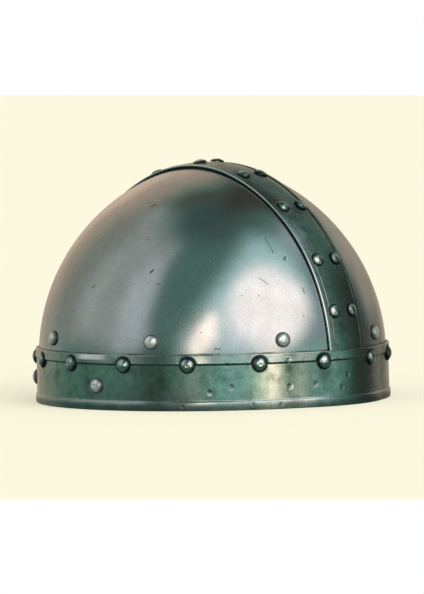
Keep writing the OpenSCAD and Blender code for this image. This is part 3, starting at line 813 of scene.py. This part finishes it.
setRivets("crestRivetsRight", "crest_rivets_right", "crestHead", darkRivets)
setRivets("crestRivetsLeft", "crest_rivets_left", "crestHead", darkRivets)
setRivets("browRivetsRight", "brow_rivets_right", "browHead", darkRivets, dimpled=(0, 2, 3, 5))
setRivets("browRivetsLeft", "brow_rivets_left", "browHead", darkRivets, dimpled=(1, 4))
setRivets("liningRivets", "lining_rivets", "browHead", brightRivets, dimpled=(0, 5, 6))
setRivets("chinRivets", "chin_rivets", "browHead", brightRivets, dimpled=(0, 3))
print("rivets made")

for name in ("lining_washers", "chin_washers"):
    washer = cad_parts[name]
    washer.data.materials.clear()
    washer.data.materials.append(darkRivets)

# Leather inside: a headband, eight tongues riveted over it, and a loop for a chin cord on each side
leather = dict(bandOut=-1.9, bandThick=3, bandLow=34.4, bandHigh=49.4, backGap=0.6, round=0.7, crease=2.4,
               creaseDeep=0.18, creaseWide=0.35, ripple=0.07, ripples=23, wearFrom=1.3, wearFull=0.2)
tongue = dict(out=-5.2, thick=2, foot=35.4, dome=111, half=22.5, slit=3, tip=14, tipRound=5, laceHole=4,
              count=8, columns=25, swell=0.25, skive=0.45)
loop = dict(out=-1.9, thick=2.6, width=15, end=9, round=0.6)


# Closed outline of a strip across its width, in height and depth, with a creased line near both edges
def stripSection(low, high, thick, bend):
    turn = np.linspace(0, halfTurn / 2, 4)
    rise = np.concatenate([np.linspace(low + bend, low + leather["crease"] + 1, 8),
                           np.linspace(low + leather["crease"] + 1, high - leather["crease"] - 1, 6)[1:-1],
                           np.linspace(high - leather["crease"] - 1, high - bend, 8)])
    edge = np.minimum(rise - low, high - rise)
    inner = thick - leather["creaseDeep"] * bell(edge - leather["crease"], leather["creaseWide"])
    z = np.concatenate([low + bend - bend * np.sin(turn), low + bend - bend * np.cos(turn), rise,
                        high - bend + bend * np.sin(turn), high - bend + bend * np.cos(turn)])
    depth = np.concatenate([bend - bend * np.cos(turn), thick - bend + bend * np.sin(turn), inner,
                            thick - bend + bend * np.cos(turn), bend - bend * np.sin(turn)])
    return np.append(z, z[0]), np.append(depth, depth[0])


def edgeWear(z, low, high):
    return smoothStep(leather["wearFrom"], leather["wearFull"], np.minimum(z - low, high - z))


def leatherHeadband():
    z, depth = stripSection(leather["bandLow"], leather["bandHigh"], leather["bandThick"], leather["round"])
    start = math.asin(leather["backGap"] / 2 / wallReach(0.0))
    angle = np.linspace(-halfTurn + start, halfTurn - start, 320)[:, None]
    ripple = leather["ripple"] * np.sin(angle * leather["ripples"]) * (depth > 1)[None, :]
    level = leather["bandOut"] - depth[None, :] + ripple
    reach = planReach(angle, flankReach(z[None, :], level))
    wear = edgeWear(z, leather["bandLow"], leather["bandHigh"])[None, :]
    piece = wrapGrid("liningHeadband", roundPoints(angle, reach, z), closed=True, wear=wear)
    smoothShade(piece, angle=60)
    finishPiece(piece, harnessLeather, "harness_leather", "lining_headband")


# Half width of a tongue at a distance from the middle of the helmet: a wedge with a rounded tip
def tongueWidth(along):
    half = math.radians(tongue["half"])
    straight = (along - tongue["slit"] / 2 / math.sin(half)) * math.tan(half)
    nose = tongue["tip"] + tongue["tipRound"]
    rounded = math.sqrt(max(tongue["tipRound"] ** 2 - max(nose - along, 0) ** 2, 0))
    return min(straight, rounded) if along < nose else straight


# Half the angle that a row of the tongue spans, at a distance r from its half's axis
def tongueSpan(middle, r):
    low, high = 0.0, math.radians(tongue["half"])
    for _ in range(30):
        span = (low + high) / 2
        reach = float(planReach(middle + span, r) + planReach(middle - span, r)) / 2
        if reach * math.sin(span) < tongueWidth(reach * math.cos(span)):
            low = span
        else:
            high = span
    return low


def leatherTongue(number):
    middle = (number - 0.5) * 2 * halfTurn / tongue["count"]
    foot = np.linspace(tongue["foot"], leather["bandHigh"], 7)
    bend = float(flankReach(leather["bandHigh"], tongue["out"]))
    domeZ = leather["bandHigh"] - math.sqrt(tongue["dome"] ** 2 - bend ** 2)
    far = float(planReach(middle, bend))
    nose = tongue["tip"] + tongue["tipRound"]
    rim = nose - tongue["tipRound"] * np.sin(np.linspace(0.1, 1, 12) * halfTurn / 2)
    plan = np.concatenate([np.linspace(far, nose, 40)[1:], rim])
    away = np.sqrt(plan ** 2 + 2 * plan * cap["axisShift"] * abs(math.sin(middle)) + cap["axisShift"] ** 2)
    r = np.concatenate([flankReach(foot, tongue["out"]), away])
    z = np.concatenate([foot, domeZ + np.sqrt(tongue["dome"] ** 2 - away ** 2)])
    span = np.array([tongueSpan(middle, one) for one in r])
    across = np.linspace(-1, 1, tongue["columns"])
    across = np.sign(across) * (1 - (1 - np.abs(across)) ** 1.3)  # closer columns at the edges
    angle = middle + span[:, None] * across[None, :]
    reach = planReach(angle, r[:, None])
    swell = tongue["swell"] * (1 - across ** 2)[None, :] * smoothStep(60, 90, z)[:, None]
    points = roundPoints(angle, reach, z[:, None] - swell)
    rows = np.arange(len(z))[:, None]
    wear = np.maximum(smoothStep(0.93, 1.0, np.abs(across))[None, :], rows >= len(z) - 2)
    piece = wrapGrid("liningTongue%d" % number, points, wear=np.maximum(wear, rows == 0))
    editMesh(piece, mergeDoubles)
    within = Vector((0, 0, 30 * mm))
    outward = sum((p.center - within).normalized().dot(p.normal) for p in piece.data.polygons)
    if outward < 0:
        editMesh(piece, bpy.ops.mesh.flip_normals)
    flat = sum(p.area for p in piece.data.polygons)
    wall = piece.modifiers.new("thick", "SOLIDIFY")
    wall.thickness = tongue["thick"] * mm
    wall.offset = -1
    applyAll(piece)
    hole = tongue["tip"] + 2 * tongue["tipRound"]
    place = Vector((math.sin(middle) * hole, -math.cos(middle) * hole, domeZ + tongue["dome"])) * mm
    deselectAll()
    bpy.ops.mesh.primitive_cylinder_add(vertices=28, radius=tongue["laceHole"] / 2 * mm, depth=60 * mm,
                                        location=place)
    punch = bpy.context.object
    cut = piece.modifiers.new("laceHole", "BOOLEAN")
    cut.operation = "DIFFERENCE"
    cut.object = punch
    soften = piece.modifiers.new("skived", "BEVEL")
    soften.width = tongue["skive"] * mm
    soften.segments = 2
    soften.limit_method = "ANGLE"
    soften.angle_limit = math.radians(50)
    applyAll(piece)
    bpy.data.objects.remove(punch)
    smoothShade(piece, angle=50)
    finishPiece(piece, tongueLeather, "tongue_leather", "lining_tongue_%d" % number)
    print("tongue", number, "flat area", round(flat / mm ** 2), "mm2")
    return piece, flat


# A strip whose ends lie on the skull round two chin rivets and whose middle spans straight between them
def leatherLoop(side, name, node):
    ends = [p for p in rivetPlaces("chin_rivets") if p["apex"][0] * side > 0]
    turns = sorted((math.atan2(p["axis"][1], p["axis"][0] * side) for p in ends))
    middleZ = sum(p["apex"][2] for p in ends) / len(ends)
    radius = cap["planRadius"] + loop["out"]
    bend = math.asin(loop["end"] / radius)
    low = np.linspace(turns[0] - bend, turns[0] + bend, 14)
    high = np.linspace(turns[1] - bend, turns[1] + bend, 14)
    start = np.array([math.cos(low[-1]), math.sin(low[-1])]) * radius
    end = np.array([math.cos(high[0]), math.sin(high[0])]) * radius
    share = np.linspace(0, 1, 60)[1:-1, None]
    smooth = np.concatenate([np.stack([np.cos(low), np.sin(low)], 1) * radius, start + (end - start) * share,
                             np.stack([np.cos(high), np.sin(high)], 1) * radius])
    for _ in range(12):
        smooth[1:-1] = (smooth[:-2] + 2 * smooth[1:-1] + smooth[2:]) / 4
    way = np.gradient(smooth, axis=0)
    way /= np.linalg.norm(way, axis=1, keepdims=True)
    inward = np.stack([-way[:, 1], way[:, 0]], 1)
    lowZ, highZ = middleZ - loop["width"] / 2, middleZ + loop["width"] / 2
    z, depth = stripSection(lowZ, highZ, loop["thick"], loop["round"])
    plan = smooth[:, None, :] + inward[:, None, :] * depth[None, :, None]
    x = (plan[:, :, 0] - cap["axisShift"]) * side
    points = np.stack([x, plan[:, :, 1], np.broadcast_to(z, x.shape)], -1)
    piece = wrapGrid(name, points, closed=True, wear=edgeWear(z, lowZ, highZ)[None, :])
    smoothShade(piece, angle=60)
    finishPiece(piece, harnessLeather, "harness_leather", node)
    length = float(np.linalg.norm(np.diff(smooth, axis=0), axis=1).sum())
    print(name, "length", round(length, 1), "mm")
    return piece, length


leatherHeadband()
for number in range(1, tongue["count"] + 1):
    piece, flat = leatherTongue(number)
for side, word in ((-1, "Right"), (1, "Left")):
    piece, length = leatherLoop(side, "chinLoop" + word, "chin_loop_" + word.lower())
print("leather made")

# Camera at the photograph's viewing angle: degrees, mm, and the frame in pixels
camera = dict(azimuth=-47.75, elevation=3.28, roll=-1.13, distance=4420, aimHeight=75, lens=423.3,
              moveRight=0.70, moveUp=-10.79, sensor=36, frameWide=424, frameHigh=594)


# Direction from the helmet, in degrees round from its front and up
def directionTo(azimuth, elevation):
    around, lift = math.radians(azimuth), math.radians(elevation)
    return Vector((math.sin(around) * math.cos(lift), -math.cos(around) * math.cos(lift), math.sin(lift)))


back = directionTo(camera["azimuth"], camera["elevation"])
level = Vector((-back.y, back.x, 0)).normalized()
roll = math.radians(camera["roll"])
upward = back.cross(level)
right = level * math.cos(roll) + upward * math.sin(roll)
up = upward * math.cos(roll) - level * math.sin(roll)
cameraData = bpy.data.cameras.new("camera")
cameraData.lens = camera["lens"]
cameraData.clip_end = 50
cameraObject = bpy.data.objects.new("camera", cameraData)
bpy.context.scene.collection.objects.link(cameraObject)
place = Vector((0, 0, camera["aimHeight"])) + back * camera["distance"] \
    + right * camera["moveRight"] + up * camera["moveUp"]
cameraObject.matrix_world = Matrix.Translation(place * mm) @ Matrix((right, up, back)).transposed().to_4x4()
bpy.context.scene.camera = cameraObject

# Table top: a cream board whose near and far edges lie level across the picture
table = dict(nearRow=500, farRow=95, spare=60, glow=0.5, colour="#fcf8df")


# The place on the table that a pixel of the picture shows
def onTable(column, row):
    pixel = camera["sensor"] / camera["frameHigh"] / camera["lens"]
    across, above = column - camera["frameWide"] / 2, camera["frameHigh"] / 2 - row
    look = right * across * pixel + up * above * pixel - back
    return (place + look * (-place.z / look.z)) * mm


deselectAll()
bpy.ops.mesh.primitive_plane_add(size=1)
floor = bpy.context.object
floor.name = "tableTop"
corners = [onTable(column, row) for row in (table["nearRow"], table["farRow"])
           for column in (-table["spare"], camera["frameWide"] + table["spare"])]
setVertices(floor, np.array([tuple(corner) for corner in corners]))
if floor.data.polygons[0].normal.z < 0:
    editMesh(floor, bpy.ops.mesh.flip_normals)
floorMaterial, tree, surface = newMaterial("matCreamBoard")
# Half of the board's light comes through it from below, as on a light table, which keeps the shadow faint
board = hexColour(table["colour"])
feed(surface, {"Base Color": [c * (1 - table["glow"]) for c in board[:3]] + [1], "Emission Color": board,
               "Emission Strength": table["glow"], "Roughness": 0.9, "Specular IOR Level": 0.0})
path = addNode(tree, "ShaderNodeLightPath")
clear = addNode(tree, "ShaderNodeBsdfTransparent")
geometry = addNode(tree, "ShaderNodeNewGeometry")
past = biggest(tree, [path.outputs["Is Glossy Ray"], geometry.outputs["Backfacing"]])
mixed = addNode(tree, "ShaderNodeMixShader", {0: past, 1: surface, 2: clear})
feed(tree.nodes["Material Output"], {"Surface": mixed})
floor.data.materials.append(floorMaterial)

# Studio round the helmet, as its steel shows it. Each panel is at an azimuth from the helmet's front and
# an elevation, in degrees; a panel with softWide is square, one with soft is round; later ones lie in front.
# Painted colours are half as bright as the panel. The camera and clear things see a white surround, but
# metal mirrors this studio instead: polished steel in an all-white surround would lose its dark reflections.
studio = dict(fill=0.77, sunAngle=50, sunStrength=1.45, sunAzimuth=-10, sunElevation=33, base="#3b5850",
              bright=2.0)
panels = [
    dict(az=0, el=90, wide=180, high=18, softWide=1, softHigh=9, colour="#2c3f3b"),  # ceiling
    dict(az=-140, el=35, wide=43, high=30, softWide=6, softHigh=9, colour="#787e7c"),  # grey wall
    dict(az=-109, el=27, wide=11, high=23, softWide=7, softHigh=14, colour="#90979a"),
    dict(az=-153, el=27, wide=10, high=13, softWide=7, softHigh=9, colour="#878d8b"),
    dict(az=-176, el=28, wide=20, high=24, softWide=14, softHigh=10, colour="#676b63"),
    dict(az=149, el=14, wide=23, high=41, softWide=8, softHigh=12, colour="#82786c"),  # warm wall
    dict(az=145, el=14, wide=9, high=18, softWide=8, softHigh=16, colour="#a69281"),
    dict(az=103, el=40, wide=23, high=15, softWide=9, softHigh=8, colour="#495752"),  # dark gap
    dict(az=102, el=66, wide=24, high=15, softWide=12, softHigh=8, colour="#2b2c26"),
    dict(az=150, el=68, wide=30, high=5, softWide=14, softHigh=5, colour="#33372f"),
    dict(az=110, el=13, wide=23, high=13, softWide=8, softHigh=8, colour="#7d766a"),
    dict(az=-110, el=-20, wide=100, high=22, softWide=12, softHigh=4, colour="#425f56"),  # below the table
    dict(az=0, el=-40, wide=180, high=28, softWide=1, softHigh=9, colour="#324640"),
    dict(az=-90, el=-4, wide=10, high=10, softWide=8, softHigh=5, colour="#2c3f38"),
    dict(az=-32, el=-5, wide=20, high=9, softWide=13, softHigh=5, colour="#69978c"),
    dict(az=16, el=-2, wide=18, high=9, softWide=10, softHigh=6, colour="#6d9189"),
    dict(az=100, el=-6, wide=24, high=11, softWide=10, softHigh=6, colour="#56544c"),
    dict(az=140, el=-6, wide=30, high=11, softWide=14, softHigh=6, colour="#8b7e6e"),
    dict(az=176, el=-4, wide=14, high=10, softWide=10, softHigh=6, colour="#6f766b"),
    dict(az=65, el=8, wide=17, high=21, softWide=9, softHigh=8, colour="#272c28"),
    dict(az=22, el=19, wide=8, high=12, softWide=6, softHigh=7, colour="#6d7a80"),
    dict(az=-12, el=38, wide=46, high=25, turn=24, soft=0.4, colour="#8fb0b1"),  # softbox and its halo
    dict(az=-32, el=22, wide=24, high=18, turn=30, soft=0.5, colour="#a0b3b8"),
    dict(az=-10, el=29, wide=30, high=23, turn=8, soft=0.25, colour="#e6dfdd"),
    dict(az=-16, el=-5, wide=8, high=7, softWide=5, softHigh=4, colour="#cdceb2"),
    dict(az=-14, el=-4, wide=4, high=7, softWide=4, softHigh=5, colour="#ffe8d0", power=1.4),
    dict(az=-67, el=10, wide=8, high=11, turn=-20, soft=0.5, colour="#6f8383"),
    dict(az=-57.5, el=13.5, wide=6, high=15, turn=-32, soft=0.4, colour="#f6e7d9", power=1.25),
    dict(az=50, el=52, wide=16, high=8, softWide=8, softHigh=6, colour="#78858a"),
]


# How far a panel covers what lies behind it, from the offset to its middle in degrees
def panelFade(tree, offset, panel):
    if "softWide" in panel:
        plain = addNode(tree, "ShaderNodeVectorMath", {0: offset}, operation="ABSOLUTE")
        sides = addNode(tree, "ShaderNodeSeparateXYZ", {"Vector": plain})
        fades = []
        for axis, size, soft in (("X", panel["wide"], panel["softWide"]),
                                 ("Y", panel["high"], panel["softHigh"])):
            fades.append(addNode(tree, "ShaderNodeMapRange",
                                 {"Value": sides.outputs[axis], "From Min": size + soft,
                                  "From Max": size - soft}, interpolation_type="SMOOTHSTEP"))
        return addNode(tree, "ShaderNodeMath", {0: fades[0], 1: fades[1]}, operation="MULTIPLY")
    facing = addNode(tree, "ShaderNodeVectorRotate", {
        "Vector": offset, "Angle": -math.radians(panel["turn"])}, rotation_type="Z_AXIS")
    spread = addNode(tree, "ShaderNodeVectorMath", {
        0: facing, 1: (1 / panel["wide"], 1 / panel["high"], 0)}, operation="MULTIPLY")
    distance = addNode(tree, "ShaderNodeVectorMath", {0: spread}, operation="LENGTH")
    return addNode(tree, "ShaderNodeMapRange", {
        "Value": distance.outputs["Value"], "From Min": 1 + panel["soft"],
        "From Max": 1 - panel["soft"]}, interpolation_type="SMOOTHSTEP")


def paintStudio():
    world = bpy.data.worlds.new("studio")
    bpy.context.scene.world = world
    world.use_nodes = True
    tree = world.node_tree
    tree.nodes.clear()
    look = addNode(tree, "ShaderNodeTexCoord").outputs["Generated"]
    apart = addNode(tree, "ShaderNodeSeparateXYZ", {"Vector": look})
    forward = addNode(tree, "ShaderNodeMath", {0: apart.outputs["Y"], 1: -1.0}, operation="MULTIPLY")
    turned = addNode(tree, "ShaderNodeMath", {0: apart.outputs["X"], 1: forward}, operation="ARCTAN2")
    lifted = addNode(tree, "ShaderNodeMath", {0: apart.outputs["Z"]}, operation="ARCSINE")
    az = addNode(tree, "ShaderNodeMath", {0: turned}, operation="DEGREES")
    el = addNode(tree, "ShaderNodeMath", {0: lifted}, operation="DEGREES")
    colour = [c * studio["bright"] for c in hexColour(studio["base"])[:3]] + [1]
    for panel in panels:
        across = addNode(tree, "ShaderNodeMath", {0: az, 1: panel["az"]}, operation="SUBTRACT")
        across = addNode(tree, "ShaderNodeMath", {0: across, 1: 180.0, 2: -180.0}, operation="WRAP")
        above = addNode(tree, "ShaderNodeMath", {0: el, 1: panel["el"]}, operation="SUBTRACT")
        offset = addNode(tree, "ShaderNodeCombineXYZ", {"X": across, "Y": above})
        power = studio["bright"] * panel.get("power", 1)
        bright = [c * power for c in hexColour(panel["colour"])[:3]] + [1]
        colour = layCoats(tree, colour, (panelFade(tree, offset, panel), bright, "MIX"))
    path = addNode(tree, "ShaderNodeLightPath")
    plain = addNode(tree, "ShaderNodeBackground", {"Color": (1, 1, 1, 1), "Strength": studio["fill"]})
    white = addNode(tree, "ShaderNodeBackground", {"Color": (1, 1, 1, 1), "Strength": 1.0})
    mirror = addNode(tree, "ShaderNodeBackground", {"Color": colour, "Strength": 1.0})
    soft = addNode(tree, "ShaderNodeMixShader", {0: path.outputs["Is Glossy Ray"], 1: plain, 2: mirror})
    direct = biggest(tree, [path.outputs["Is Camera Ray"], path.outputs["Is Transmission Ray"]])
    seen = addNode(tree, "ShaderNodeMixShader", {0: direct, 1: soft, 2: white})
    addNode(tree, "ShaderNodeOutputWorld", {"Surface": seen})


paintStudio()
sunData = bpy.data.lights.new("softbox", "SUN")
sunData.energy = studio["sunStrength"]
sunData.angle = math.radians(studio["sunAngle"])
sun = bpy.data.objects.new("softbox", sunData)
towardsSun = directionTo(studio["sunAzimuth"], studio["sunElevation"])
sun.rotation_euler = towardsSun.to_track_quat("Z", "Y").to_euler()
sun.visible_glossy = False  # metal mirrors the softbox of the studio instead
bpy.context.scene.collection.objects.link(sun)
bpy.context.scene.view_settings.view_transform = "Standard"
print("studio made")
